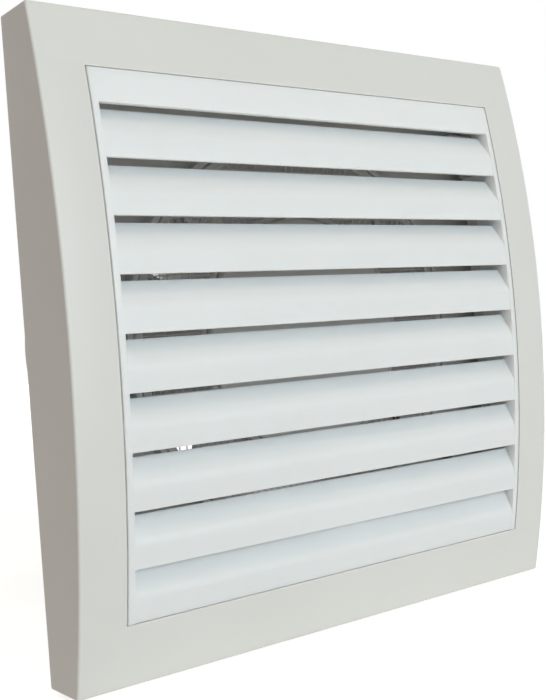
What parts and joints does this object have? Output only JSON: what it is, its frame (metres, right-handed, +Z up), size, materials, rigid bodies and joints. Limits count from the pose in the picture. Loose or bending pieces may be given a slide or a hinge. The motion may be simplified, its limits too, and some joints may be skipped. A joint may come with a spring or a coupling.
{
  "type": "bathroom exhaust fan",
  "caption": "Wall exhaust fan for a round duct: square bowed louvred cover, insect net, motor on four arms, axial impeller in a spigot.",
  "frame": {"origin": "centre of the duct spigot's axis in the wall plane, which is the base plate's back face", "axes": "+Y along the duct's axis into the wall, +Z up, +X to the right seen from the room; the room is at -Y"},
  "size_m": [0.15, 0.0859, 0.15],
  "materials": {
    "cover_white": "satin moulded plastic, warm white",
    "louvre_white": "satin moulded plastic, cool white",
    "housing_white": "fine textured plastic, white",
    "net_grey": "moulded plastic net, light grey",
    "impeller_grey": "moulded plastic, light grey",
    "lamination_steel": "stacked steel laminations",
    "bobbin_nylon": "natural nylon",
    "winding_copper": "enamelled copper wire",
    "rotor_aluminium": "turned steel and cast aluminium",
    "shaft_steel": "ground steel",
    "bearing_steel": "polished bearing steel",
    "screw_steel": "zinc plated steel",
    "terminal_plastic": "moulded plastic, ivory",
    "terminal_brass": "drawn brass",
    "grommet_rubber": "black rubber",
    "lead_brown": "wire insulation, brown",
    "lead_blue": "wire insulation, blue"
  },
  "bodies": {
    "casing": {"front_cover": "cover_white", "rear_housing": "housing_white", "insect_screen": "net_grey", "motor_carrier": "housing_white", "motor_end_cover": "housing_white", "stator_core": "lamination_steel", "coil_bobbin_1": "bobbin_nylon", "coil_bobbin_2": "bobbin_nylon", "coil_bobbin_3": "bobbin_nylon", "coil_bobbin_4": "bobbin_nylon", "coil_winding_1": "winding_copper", "coil_winding_2": "winding_copper", "coil_winding_3": "winding_copper", "coil_winding_4": "winding_copper", "front_bearing": "bearing_steel", "rear_bearing": "bearing_steel", "motor_screw_1": "screw_steel", "motor_screw_2": "screw_steel", "motor_screw_3": "screw_steel", "motor_screw_4": "screw_steel", "carrier_screw_1": "screw_steel", "carrier_screw_2": "screw_steel", "carrier_screw_3": "screw_steel", "carrier_screw_4": "screw_steel", "cover_screw_1": "screw_steel", "cover_screw_2": "screw_steel", "terminal_block": "terminal_plastic", "terminal_insert_1": "terminal_brass", "terminal_insert_2": "terminal_brass", "terminal_screw_1": "screw_steel", "terminal_screw_2": "screw_steel", "terminal_screw_3": "screw_steel", "terminal_screw_4": "screw_steel", "terminal_cover": "cover_white", "terminal_cover_screw": "screw_steel", "cable_grommet": "grommet_rubber", "lead_live": "lead_brown", "lead_neutral": "lead_blue"},
    "rotor": {"impeller": "impeller_grey", "impeller_clip": "screw_steel", "motor_shaft": "shaft_steel", "rotor_core": "rotor_aluminium"},
    "louvre": {"louvre_grille": "louvre_white"}
  },
  "joints": [
    {"name": "impeller_spin", "type": "hinge", "parent": "casing", "child": "rotor", "pos_m": [0, 0, 0], "axis": [0, 1, 0], "continuous": true},
    {"name": "louvre_slide", "type": "slide", "parent": "casing", "child": "louvre", "axis": [0, -1, 0], "range_m": [0, 0.03]}
  ]
}
